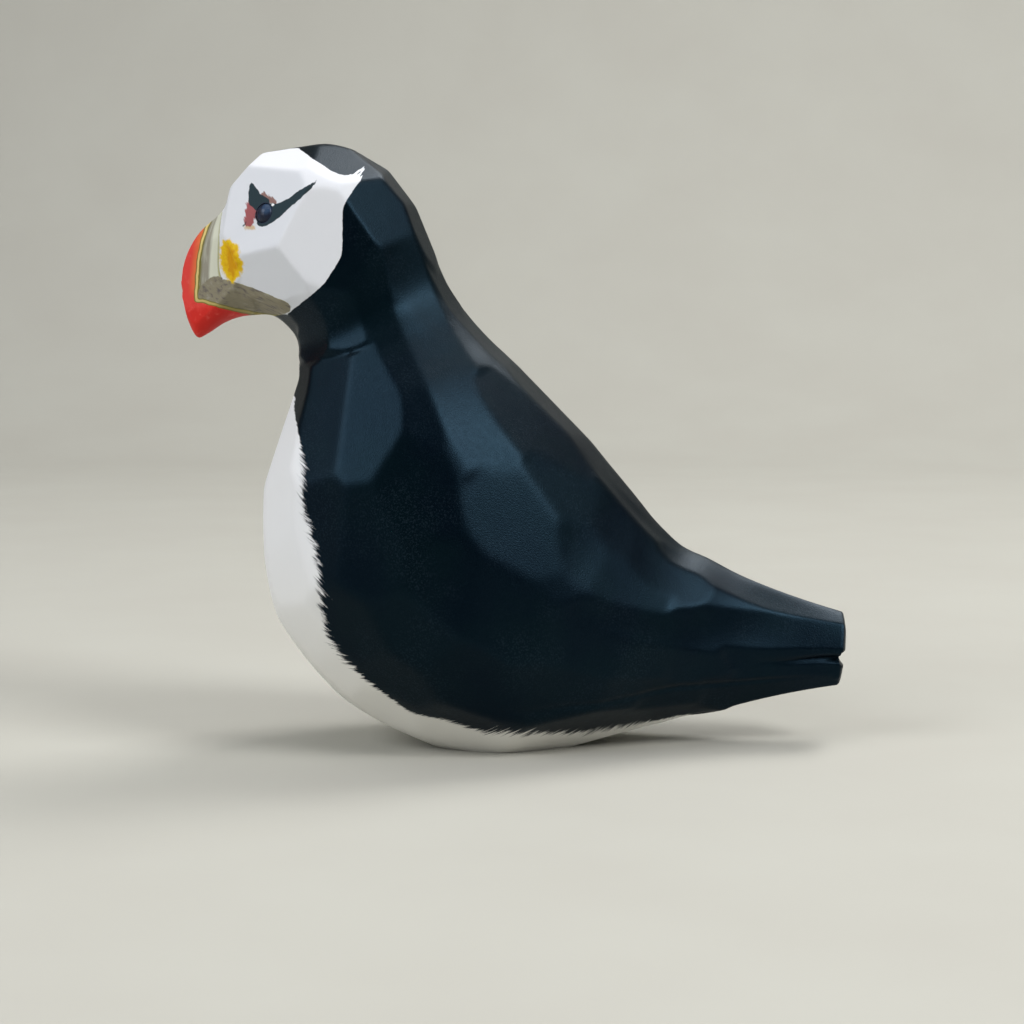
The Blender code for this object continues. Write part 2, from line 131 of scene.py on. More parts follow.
# Single cuts on the left side: place, then length along the bird and width across it.
SINGLE_CUTS = [
    ("forehead", 5.6, 0, 5.0, 6.0),
    ("front of the crown", 7.2, 0, 6.0, 5.0),
    ("side of the crown", 6.9, 27, 9.0, 7.0),
    ("crown", 8.4, 29, 9.0, 8.0),
    ("face", 6.2, 63, 10.0, 13.0),
    ("behind the eye", 8.8, 89, 11.0, 12.0),
    ("side of the beak", 3.1, 84, 6.5, 9.0),
    ("cheek", 7.5, 122, 8.0, 7.0),
    ("jaw", 9.6, 112, 5.0, 6.0),
    ("chin", 8.2, 155, 7.0, 6.0),
    ("back of the head", 9.8, 47, 9.0, 9.0),
    ("front of the shoulder", 15.0, 100, 20.0, 7.0),
    ("breast", 14.9, 121, 21.0, 8.0),
]

# Long cuts down the hollows of the neck and the back, which are flat across and follow the form along.
HOLLOW_CUTS = [
    ("behind the cheek", 11.5, 80, 12.0, 6.5),
    ("below the cheek", 11.6, 107, 9.0, 7.0),
    ("throat", 11.3, 140, 8.0, 8.0),
    ("side of the breast", 14.5, 78, 13.0, 8.0),
    ("nape", 11.9, 50, 10.0, 7.5),
    ("shoulder", 15.3, 54, 19.0, 10.0),
    ("root of the tail", 21.9, 11, 24.0, 5.5),
    ("top of the tail", 25.2, 18, 22.0, 7.0),
    ("wing over the tail", 24.4, 60, 30.0, 9.0),
]

# The crease between the head and the breast, on both sides: places along it, and how deep it is
# there. It is this wide to either side, in hundredths of LENGTH too, and no cut crosses it.
CREASE = (
    (12.2, 180, 0.3), (12.3, 157, 0.5), (12.6, 121, 0.7),
    (12.8, 106, 0.8), (12.9, 95, 0.5), (12.8, 86, 0.0),
)
CREASE_WIDTH = 1.1

# Grooves on both sides: how wide each is to either side, then places along it and its depth.
GROOVES = [
    ("edge of the wing", 0.7, (
        (20.9, 119, 0.0), (22.1, 104, 0.3), (24.0, 102, 0.4), (25.7, 112, 0.2), (26.6, 118, 0.0),
    )),
    ("wing tip over the tail", 0.9, (
        (25.2, 80, 0.0), (26.0, 87, 0.3), (26.6, 90, 0.7), (27.0, 93, 1.3),
    )),
]

# The grid that the form is worked out on: the rows lie this close in each run of sections, so
# that they are finest on the head, where the paint is finest.
ROW_RUNS = ((0, 0.090), (5, 0.045), (9.5, 0.070), (21, 0.080), (27, 0.080))
COLUMNS_AROUND = 240
# Edges sharper than this many degrees are shaded as edges.
SHARP_ANGLE = 30

# The two beads, and how much space their sockets leave round them.
EYE_NODES = ("eye_left", "eye_right")
EYE_GAP = 0.00012
EYE_SEGMENTS = 48

# How the two ends close: the end section shrinks over this many rings, and stands out this far.
END_RINGS = 8
BEAK_END_BULGE = 0.002 * LENGTH
TAIL_END_BULGE = 0.010 * LENGTH
# The groove under the wing tips goes on across the end of the tail, at the height of this place.
NOTCH = (27.0, 93)
NOTCH_DEPTH = 0.012 * LENGTH
NOTCH_WIDTH = 0.012 * LENGTH

# How a knife cuts: the middle of a cut lies this share of its full depth under the smooth form,
# a cut on flat or hollow wood is scooped by this share of its size, and no ridge between cuts
# stands further out than this share of the section's half width, or than this in all.
CUT_SINK = 0.85
SCOOP = 0.008
RIDGE_SHARE = 0.012
RIDGE_LIMIT = 0.0015 * LENGTH
DEEPEST_CUT = 0.020 * LENGTH
# A cut ends past this share of its own size, and where the wood beside it rises by this share,
# and then runs out this steeply. Cuts of a row overlap by this factor.
CUT_REACH = 0.80
CUT_RISE = 0.04
STEEPNESS = 3.0
ROW_OVERLAP = 1.15
# A cut works on skin that faces its own way by more than this cosine. The form's curve under a
# cut is measured within this share of the cut's size.
FACING = 0.25
CURVE_REACH = 0.45
CURVE_FACING = 0.5
# Cuts stop this sharply at the crease, but above its end they may run past it, by this many
# sections for each degree.
CREASE_STOP = 4.0
CREASE_OPENS = 3.0
# The right side's cuts lie off the left side's by up to this many sections and degrees.
RIGHT_SLIP = 0.15
RIGHT_TURN = 3.0
# How many places a groove's line is worked out at, and the step, in sections and radians, that
# the skin's directions are measured over.
GROOVE_STEPS = 60
SKIN_STEP = 0.02
# The paint softens the ridges between cuts by about this much, and evens the grid out.
RIDGE_SOFTNESS = 0.00005
RIDGE_SMOOTHINGS = 2

# The side view that the paint is laid out on: seen from this far, and this many degrees from
# above, towards a point in the mid plane. The camera takes its own place from the same values.
VIEW_DISTANCE = 0.45
VIEW_PITCH = 6.2
VIEW_CENTRE = Vector((-0.00067, 0, 0.0418))
LENS = 87.4

# The borders of the paint in the side view, in millimetres from the middle of the bird and above
# the ground. Curves run through the points, and a point given twice is a corner. Where a border
# runs outside the bird, another paint or nothing lies past it.
FACE = (
    (-54.0, 100.0), (-54.0, 88.0), (-54.0, 82.0), (-48.0, 79.0), (-43.0, 77.2),
    (-40.7, 76.9), (-40.7, 76.9), (-39.1, 78.2), (-36.6, 80.2), (-34.3, 82.2), (-32.4, 84.9),
    (-31.0, 87.5), (-30.7, 90.5), (-30.7, 95.0), (-30.1, 97.2), (-28.2, 100.2),
    (-26.5, 103.1), (-26.5, 103.1),
    (-27.6, 102.7), (-29.7, 102.1), (-31.7, 102.5), (-34.0, 103.7), (-37.8, 106.4), (-39.5, 107.8),
    (-42.0, 110.0), (-48.0, 109.0), (-53.0, 104.0),
)
# The tip of the face's spur on the back of the head, where it ends in hairs of the brush.
SPUR_TIP = (-26.8, 102.9)
SPUR_LENGTH = 3.5
# The crown's black runs forward between the two white sides of the face: along the side view,
# and then its half width there.
CROWN = ((-47.0, -0.6), (-45.5, 0.7), (-43.0, 1.6), (-40.0, 2.4), (-36.0, 5.0))
BIB = (
    (-60.0, 64.0), (-41.6, 62.9), (-39.4, 62.2), (-39.4, 59.5), (-38.4, 54.0), (-37.7, 49.0),
    (-37.8, 42.5), (-36.2, 36.8), (-35.2, 32.0), (-34.6, 26.0), (-33.6, 19.5), (-30.8, 15.1),
    (-26.4, 10.7), (-21.5, 7.1), (-18.0, 4.8), (-12.3, 3.5), (-6.0, 1.6), (-1.3, 1.2),
    (6.0, 1.1), (14.0, 1.4), (22.0, 2.7), (28.0, 3.8), (31.0, 4.4), (33.5, 4.0),
    (35.0, 0.0), (36.0, -20.0), (-70.0, -20.0),
)
# Where hairs of the brush run over the border of the bib: the place along the border, in
# millimetres from its first point, and then the share of their full reach that they have there.
BIB_HAIRS = (
    (0.0, 0.10), (34.0, 0.15), (38.0, 0.9), (60.0, 1.0), (72.0, 0.8), (84.0, 0.4), (96.0, 0.25),
    (104.0, 0.7), (128.0, 0.7), (136.0, 0.2),
)
BEAK = (
    (-70.0, 104.0), (-54.5, 99.5), (-52.5, 96.6), (-52.8, 93.0), (-53.0, 88.5), (-52.9, 84.6),
    (-52.3, 83.3), (-52.3, 83.3), (-50.3, 82.8), (-46.5, 81.5), (-41.2, 79.3),
    (-40.0, 78.3), (-40.0, 78.3), (-40.4, 77.3), (-42.5, 76.7), (-44.2, 76.3), (-44.2, 76.3),
    (-45.0, 70.0), (-70.0, 60.0),
)
# The yellow line between the beak's red and its grey, closed over the grey side.
BEAK_LINE = (
    (-51.0, 99.5), (-53.2, 96.2), (-55.2, 92.7), (-56.3, 89.2), (-56.9, 84.5), (-57.2, 80.6),
    (-56.9, 79.5), (-56.9, 79.5), (-54.5, 78.9), (-50.0, 77.7), (-43.8, 76.7),
    (-38.0, 76.0), (-38.0, 76.0), (-30.0, 90.0),
)
WEDGE = (
    (-56.6, 81.6), (-54.7, 83.5), (-53.4, 83.9), (-52.1, 83.4), (-47.0, 81.8), (-41.6, 79.5),
    (-39.9, 78.5), (-40.3, 77.4), (-42.5, 76.7), (-50.0, 78.0), (-56.4, 79.5),
)
ROSETTE = (
    (-52.6, 89.4), (-51.8, 90.4), (-51.1, 90.5), (-50.4, 89.7), (-49.5, 89.3), (-49.3, 87.2),
    (-48.6, 86.1), (-49.3, 83.9), (-50.1, 82.9), (-50.8, 82.8), (-51.8, 83.7), (-52.6, 85.2),
)
BROW = (
    (-47.1, 100.8), (-47.1, 100.8), (-46.2, 99.7), (-45.4, 98.6), (-44.0, 97.7), (-44.0, 96.0),
    (-45.4, 95.0), (-46.6, 96.0), (-47.6, 97.0), (-47.7, 98.6), (-47.5, 100.2),
)
STRIPE = (
    (-44.0, 96.8), (-42.5, 97.0), (-40.5, 97.9), (-38.6, 99.3), (-36.6, 100.4),
    (-35.4, 101.2), (-35.4, 101.2), (-36.0, 100.1), (-38.1, 98.1), (-40.4, 96.1), (-42.6, 94.1),
    (-44.9, 92.8), (-46.2, 93.6),
)
EYE_PATCH = (
    (-47.9, 97.4), (-46.8, 97.2), (-46.3, 95.8), (-46.6, 94.4), (-46.9, 93.2),
    (-48.2, 92.9), (-48.3, 94.6),
)
# Small strokes of the brush round the eye: their two ends, and half their width. The last is a white dot
# of painted highlight: the eye's glint, painted on the wood beside the bead.
STROKES = {
    "brow_stroke": ((-45.0, 98.5), (-43.1, 97.3), 0.48),
    "lid_stroke": ((-48.1, 92.7), (-46.9, 92.6), 0.40),
    "lid_corner": ((-48.6, 92.9), (-48.1, 93.6), 0.16),
    "painted_eye_glint": ((-43.35, 96.7), (-43.25, 96.8), 0.24),
}
# The dark rim round each bead reaches this far from the bead's middle.
EYE_RING = 0.00232

# How many straight steps a curve takes from one of its points to the next.
CURVE_STEPS = 5


def row_places():
    """The places of the grid's rows along the list of sections."""
    stops, steps = zip(*ROW_RUNS)
    places = [float(stops[0])]
    while places[-1] < stops[-1]:
        places.append(places[-1] + np.interp(places[-1], stops, steps))
    return np.array(places) * stops[-1] / places[-1]


def blended(before, first, second, after, part):
    """A smooth blend between the first and the second value, at a part of the way."""
    return 0.5 * (
        2 * first
        + (second - before) * part
        + (2 * before - 5 * first + 4 * second - after) * part**2
        + (3 * first - before - 3 * second + after) * part**3
    )


def sections_at(rows):
    """The sections at the given places along the list, blended smoothly between its rows."""
    table = np.array(SECTIONS)
    table[:, :5] *= LENGTH / 100
    last = len(table) - 1
    low = np.clip(np.floor(rows).astype(int), 0, last - 1)
    part = (rows - low)[:, None]
    before = table[np.clip(low - 1, 0, last)]
    first = table[low]
    second = table[low + 1]
    after = table[np.clip(low + 2, 0, last)]
    return blended(before, first, second, after, part)


def rings_at(rows, turn):
    """Rings of points for the given sections, at the given angles from the back."""
    back = rows[:, None, 0:2]
    belly = rows[:, None, 2:4]
    half_width, widest, above, below = (rows[:, None, column] for column in (4, 5, 6, 7))
    cosine = np.cos(turn)
    sine = np.sin(turn)
    power = 2 / np.where(cosine > 0, above, below)
    reach = np.abs(cosine) ** power
    height = np.where(cosine > 0, widest + (1 - widest) * reach, widest * (1 - reach))
    middle = belly + (back - belly) * height[..., None]
    side = -half_width * np.sign(sine) * np.abs(sine) ** power
    return np.stack([middle[..., 0], side, middle[..., 1]], axis=-1)


def normals_of(grid):
    """The outward normal at each point of a grid."""
    around = np.roll(grid, -1, axis=1) - np.roll(grid, 1, axis=1)
    along = np.gradient(grid, axis=0)
    normals = np.cross(around, along)
    size = np.linalg.norm(normals, axis=-1, keepdims=True)
    return normals / np.maximum(size, 1e-12)


def skin_frame(section, angle):
    """The place, the outward normal and the direction to the tail at an address on the form."""
    turn = math.radians(angle)
    steps = np.array([-SKIN_STEP, 0, SKIN_STEP])
    rows = sections_at(np.clip(section + steps, 0, len(SECTIONS) - 1))
    around = rings_at(rows, np.tile(turn + steps, (len(steps), 1)))
    place = around[1, 1]
    along = around[2, 1] - around[0, 1]
    across = around[1, 2] - around[1, 0]
    normal = np.cross(across, along)
    normal /= np.linalg.norm(normal)
    along /= np.linalg.norm(along)
    return place, normal, along


def row_lengths(places):
    """How long each cut of a row is, from the places of the row's cuts."""
    steps = np.linalg.norm(np.diff(places, axis=0), axis=1)
    before = np.concatenate([steps[:1], steps])
    after = np.concatenate([steps, steps[-1:]])
    return ROW_OVERLAP * (before + after) / 2


def planned_cuts(seed):
    """Every cut as (section, angle, length, width, follows), for both sides, a little irregular."""
    chance = random.Random(seed)
    cuts = []
    for side in (1, -1):
        for _, width, addresses in CUT_ROWS:
            on_middle = addresses[0][1] == 180
            if on_middle and side < 0:
                continue
            places = np.array([skin_frame(*address)[0] for address in addresses])
            for (section, angle), length in zip(addresses, row_lengths(places)):
                slip = 0 if side > 0 else chance.uniform(-RIGHT_SLIP, RIGHT_SLIP)
                turn = 0 if side > 0 else chance.uniform(-RIGHT_TURN, RIGHT_TURN)
                cuts.append((section + slip, side * (angle + turn), length, width * LENGTH / 100, False))
        for singles, follows in ((SINGLE_CUTS, False), (HOLLOW_CUTS, True)):
            for _, section, angle, length, width in singles:
                size = (length * LENGTH / 100, width * LENGTH / 100)
                cuts.append((section, side * angle, *size, follows))
    return cuts


def curvature(points, normals, place, normal, along, across, radius):
    """How strongly the form curves at a place, along and across a cut; positive is round."""
    offset = points - place
    near = (np.linalg.norm(offset, axis=1) < radius) & (normals @ normal > CURVE_FACING)
    offset = offset[near]
    a = offset @ along
    b = offset @ across
    rise = offset @ normal
    terms = np.stack([a * a, a * b, b * b, a, b, np.ones_like(a)], axis=1)
    answer = np.linalg.lstsq(terms, rise, rcond=None)[0]
    return -2 * answer[0], -2 * answer[2]


def past_crease(section, angle):
    """How many sections an address lies behind the crease, and how far a cut may cross it."""
    sections, angles, _ = np.array(CREASE[::-1]).T
    crossing = CREASE_OPENS * np.maximum(angles[0] - np.abs(angle), 0)
    return section - np.interp(np.abs(angle), angles, sections), crossing


def cut_depth(points, normals, addresses, cut):
    """How deep one cut goes at each point of the form, with minus where it stays outside."""
    section, angle, length, width, follows = cut
    place, normal, along = skin_frame(section, angle)
    across = np.cross(normal, along)
    small = min(length, width)
    radius = CURVE_REACH * max(length, width)
    bend_along, bend_across = curvature(points, normals, place, normal, along, across, radius)
    if follows:
        bend_along = 0
    full = max(bend_along, 0) * length**2 / 8 + max(bend_across, 0) * width**2 / 8
    full = min(full, DEEPEST_CUT) + SCOOP * small
    scoop_along = max(0, 8 * SCOOP * small / length**2 - bend_along)
    scoop_across = max(0, 8 * SCOOP * small / width**2 - bend_across)
    offset = points - place
    a = offset @ along
    b = offset @ across
    rise = -bend_across * b * b / 2 if follows else offset @ normal
    past = np.maximum(np.abs(a) / length - CUT_REACH, 0) + np.maximum(np.abs(b) / width - CUT_REACH, 0)
    past += STEEPNESS * np.maximum(rise / small - CUT_RISE, 0)
    behind, crossing = past_crease(*addresses)
    own_behind, own_crossing = past_crease(section, angle)
    beyond = -math.copysign(1, own_behind) * behind
    past += CREASE_STOP * np.maximum(beyond - np.minimum(crossing, own_crossing), 0)
    bottom = -CUT_SINK * full + scoop_along * a * a / 2 + scoop_across * b * b / 2
    bottom += STEEPNESS * past**2 * small
    agree = normals @ normal
    depth = rise - bottom if follows else (rise - bottom) / np.maximum(agree, FACING)
    return np.where(agree > FACING, depth, -np.inf)


def groove_depth(points, half_width, addresses, side):
    """How deep a groove or a crease goes at each point of the form."""
    sections, angles, depths = np.array(addresses, dtype=float).T
    fine = np.linspace(0, len(addresses) - 1, GROOVE_STEPS)
    stops = np.arange(len(addresses))
    run = zip(np.interp(fine, stops, sections), side * np.interp(fine, stops, angles))
    places = np.array([skin_frame(section, angle)[0] for section, angle in run])
    depths = np.interp(fine, stops, depths) * LENGTH / 100
    nearest = np.zeros(len(points), dtype=int)
    away = np.full(len(points), np.inf)
    for step, place in enumerate(places):
        distance = np.linalg.norm(points - place, axis=1)
        nearest[distance < away] = step
        away = np.minimum(away, distance)
    share = 1 - away / (half_width * LENGTH / 100)
    return depths[nearest] * np.maximum(share, 0)


def carve(grid, rows, cuts):
    """The grid of points after the cuts: every cut leaves a flat or slightly scooped facet."""
    shape = grid.shape
    points = grid.reshape(-1, 3)
    normals = normals_of(grid).reshape(-1, 3)
    turns = (np.arange(shape[1]) * 360 / shape[1] + 180) % 360 - 180
    addresses = (np.repeat(rows, shape[1]), np.tile(turns, shape[0]))
    half_widths = sections_at(rows)[:, 4]
    ridge = np.minimum(RIDGE_LIMIT, RIDGE_SHARE * half_widths)
    depth = -np.repeat(ridge, shape[1])
    for cut in cuts:
        own = cut_depth(points, normals, addresses, cut)
        depth = RIDGE_SOFTNESS * np.logaddexp(depth / RIDGE_SOFTNESS, own / RIDGE_SOFTNESS)
    for side in (1, -1):
        depth = np.maximum(depth, groove_depth(points, CREASE_WIDTH, CREASE, side))
        for _, half_width, line in GROOVES:
            depth += groove_depth(points, half_width, line, side)
    depth = depth.reshape(shape[:2])
    for _ in range(RIDGE_SMOOTHINGS):
        beside = (np.roll(depth, 1, axis=1) + np.roll(depth, -1, axis=1)) / 2
        ahead = np.pad(depth, ((1, 1), (0, 0)), mode="edge")
        depth = depth / 2 + beside / 4 + (ahead[:-2] + ahead[2:]) / 8
    return grid - depth[..., None] * normals.reshape(shape)


def end_rings(ring, bulge):
    """Rings that close an end, from the outermost inwards, standing out by the bulge."""
    centre = ring.mean(axis=0)
    rings = []
    for step in range(1, END_RINGS + 1):
        share = step / (END_RINGS + 0.5)
        outwards = bulge * math.sin(share * math.pi / 2)
        shrunk = centre + (ring - centre) * math.cos(share * math.pi / 2)
        rings.append(shrunk + np.array([outwards, 0, 0]))
    return np.array(rings)


def carved_bird(around, seed=7):
    """The carved form as a grid of points, with both ends closed."""
    rows = row_places()
    turn = (np.arange(around) * 2 * math.pi / around)[None, :]
    grid = carve(rings_at(sections_at(rows), turn), rows, planned_cuts(seed))
    beak = end_rings(grid[0], -BEAK_END_BULGE)[::-1]
    tail = end_rings(grid[-1], TAIL_END_BULGE)
    notch_height = skin_frame(*NOTCH)[0][2]
    share = 1 - np.abs(tail[..., 2] - notch_height) / NOTCH_WIDTH
    tail[..., 0] -= NOTCH_DEPTH * np.maximum(share, 0)
    return np.concatenate([beak, grid, tail])


def fitted(grid):
    """The grid moved and scaled to the length and the middle of the CAD part."""
    points = grid.reshape(-1, 3)
    low = points.min(axis=0)
    high = points.max(axis=0)
    scale = LENGTH / (high[0] - low[0])
    middle = (low + high) / 2 * np.array([1, 1, 0])
    cad_middle = (CAD_BOX[0] + CAD_BOX[1]) / 2
    return (grid - middle) * scale + np.array([cad_middle.x, cad_middle.y, 0])


def grid_mesh(name, grid):
    """A closed mesh from a grid of rings, with both ends filled."""
    rows, columns = grid.shape[:2]
    faces = []
    for row in range(rows - 1):
        for column in range(columns):
            beside = (column + 1) % columns
            faces.append((
                row * columns + column,
                (row + 1) * columns + column,
                (row + 1) * columns + beside,
                row * columns + beside,
            ))
    faces.append(tuple(range(columns)))
    faces.append(tuple((rows - 1) * columns + column for column in reversed(range(columns))))
    mesh = bpy.data.meshes.new(name)
    mesh.from_pydata(grid.reshape(-1, 3).tolist(), [], faces)
    return mesh


def saw_flat(mesh):
    """Saws the form off at the plane that it stands on, and closes the cut."""
    work = bmesh.new()
    work.from_mesh(mesh)
    whole = work.verts[:] + work.edges[:] + work.faces[:]
    ground = {"plane_co": (0, 0, 0), "plane_no": (0, 0, 1)}
    sawn = bmesh.ops.bisect_plane(work, geom=whole, clear_inner=True, **ground)
    rim = [piece for piece in sawn["geom_cut"] if isinstance(piece, bmesh.types.BMEdge)]
    bmesh.ops.holes_fill(work, edges=rim, sides=0)
    work.to_mesh(mesh)
    work.free()


def eye_boxes():
    """The middle and the radius of each bead, from the CAD part."""
    beads = []
    for node in EYE_NODES:
        low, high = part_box(node)
        beads.append(((low + high) / 2, (high.x - low.x) / 2))
    return beads


def with_sockets(bird):
    """Hollows the two eye sockets out of the bird."""
    work = bmesh.new()
    for centre, radius in eye_boxes():
        made = bmesh.ops.create_uvsphere(
            work, u_segments=EYE_SEGMENTS, v_segments=EYE_SEGMENTS // 2, radius=radius + EYE_GAP
        )
        bmesh.ops.translate(work, verts=made["verts"], vec=centre)
    mesh = bpy.data.meshes.new("sockets")
    work.to_mesh(mesh)
    work.free()
    sockets = bpy.data.objects.new("sockets", mesh)
    bpy.context.scene.collection.objects.link(sockets)
    hollow = bird.modifiers.new("hollow", "BOOLEAN")
    hollow.operation = "DIFFERENCE"
    hollow.solver = "EXACT"
    hollow.object = sockets
    depsgraph = bpy.context.evaluated_depsgraph_get()
    bird.data = bpy.data.meshes.new_from_object(bird.evaluated_get(depsgraph))
    bird.modifiers.clear()
    bpy.data.objects.remove(sockets)


def side_view(points):
    """Where points show in the side view that the paint is laid out on, in millimetres."""
    pitch = math.radians(VIEW_PITCH)
    x = points[:, 0] - VIEW_CENTRE.x
    y = -np.abs(points[:, 1])
    z = points[:, 2] - VIEW_CENTRE.z
    up = y * math.sin(pitch) + z * math.cos(pitch)
    scale = 1000 * VIEW_DISTANCE / (VIEW_DISTANCE + y * math.cos(pitch) - z * math.sin(pitch))
    ground = VIEW_CENTRE.z * math.cos(pitch)
    ground_scale = 1000 * VIEW_DISTANCE / (VIEW_DISTANCE + VIEW_CENTRE.z * math.sin(pitch))
    return np.stack([x * scale, up * scale + ground * ground_scale], axis=1)


def curve_through(points, closed=True):
    """A smooth line through points, as many short straight steps."""
    points = np.array(points)
    count = len(points)
    spans = count if closed else count - 1
    line = []
    for span in range(spans):
        nearby = [span - 1, span, span + 1, span + 2]
        if closed:
            before, first, second, after = points[[place % count for place in nearby]]
        else:
            before, first, second, after = points[np.clip(nearby, 0, count - 1)]
        for step in range(CURVE_STEPS):
            line.append(blended(before, first, second, after, step / CURVE_STEPS))
    line.append(line[0] if closed else points[-1])
    return np.array(line)


def away_from(places, line):
    """How far places are from a line, and how far along it their nearest points lie."""
    away = np.full(len(places), np.inf)
    run = np.zeros(len(places))
    passed = 0
    for start, end in zip(line[:-1], line[1:]):
        step = end - start
        length = np.linalg.norm(step)
        if length == 0:
            continue
        share = np.clip((places - start) @ step / length**2, 0, 1)
        distance = np.linalg.norm(places - start - share[:, None] * step, axis=1)
        nearer = distance < away
        away[nearer] = distance[nearer]
        run[nearer] = passed + share[nearer] * length
        passed += length
    return away, run


def within(places, line):
    """Which places lie inside a closed line."""
    inside = np.zeros(len(places), dtype=bool)
    u, v = places.T
    for (start_u, start_v), (end_u, end_v) in zip(line[:-1], line[1:]):
        if start_v == end_v:
            continue
        crosses = (start_v > v) != (end_v > v)
        at = start_u + (v - start_v) * (end_u - start_u) / (end_v - start_v)
        inside ^= crosses & (u < at)
    return inside


def depth_in(places, outline):
    """How deep places lie inside an outline, with minus outside it, and where along its border."""
    line = curve_through(outline)
    away, run = away_from(places, line)
    return np.where(within(places, line), away, -away), run


def paint_fields(points):
    """Where each point lies in the layout of the paint, as named numbers in millimetres."""
    places = side_view(points)
    fields = {}
    fields["bib"], fields["bib_run"] = depth_in(places, BIB)
    fields["bib_hairs"] = np.interp(fields["bib_run"], *zip(*BIB_HAIRS))
    face, _ = depth_in(places, FACE)
    off_middle = 1000 * np.abs(points[:, 1]) - np.interp(places[:, 0], *zip(*CROWN))
    over_crown = places[:, 0] > CROWN[0][0]
    fields["face"] = np.where(over_crown, np.minimum(face, off_middle), face)
    fields["spur"] = np.clip(1 - np.linalg.norm(places - SPUR_TIP, axis=1) / SPUR_LENGTH, 0, 1)
    fields["beak"], _ = depth_in(places, BEAK)
    fields["beak_grey"], _ = depth_in(places, BEAK_LINE)
    grey = np.maximum(fields["beak_grey"], 0)
    fields["beak_share"] = grey / np.maximum(grey + np.maximum(fields["beak"], 0), 1e-6)
    fields["wedge"], _ = depth_in(places, WEDGE)
    fields["rosette"], _ = depth_in(places, ROSETTE)
    brow, _ = depth_in(places, BROW)
    stripe, _ = depth_in(places, STRIPE)
    off_eyes = [np.linalg.norm(points - np.array(centre), axis=1) for centre, _ in eye_boxes()]
    fields["marks"] = np.maximum(brow, stripe)
    fields["eye_rim"] = 1000 * (EYE_RING - np.minimum(*off_eyes))
    fields["eye_patch"], _ = depth_in(places, EYE_PATCH)
    for name, (start, end, half_width) in STROKES.items():
        away, _ = away_from(places, np.array([start, end]))
        fields[name] = half_width - away
    fields["height"] = places[:, 1]
    return fields


def keep_fields(mesh):
    """Keeps the layout of the paint on a mesh's points."""
    points = np.zeros(len(mesh.vertices) * 3)
    mesh.vertices.foreach_get("co", points)
    for name, values in paint_fields(points.reshape(-1, 3)).items():
        mesh.attributes.new(name, "FLOAT", "POINT").data.foreach_set("value", values.astype(np.float32))


def linear_light(level):
    """A screen's level, from 0 to 255, in linear light."""
    share = level / 255
    if share <= 0.04045:
        return share / 12.92
    return ((share + 0.055) / 1.055) ** 2.4


def light_colour(red, green, blue):
    """A colour as it shows on a screen, in linear light."""
    return (linear_light(red), linear_light(green), linear_light(blue), 1)


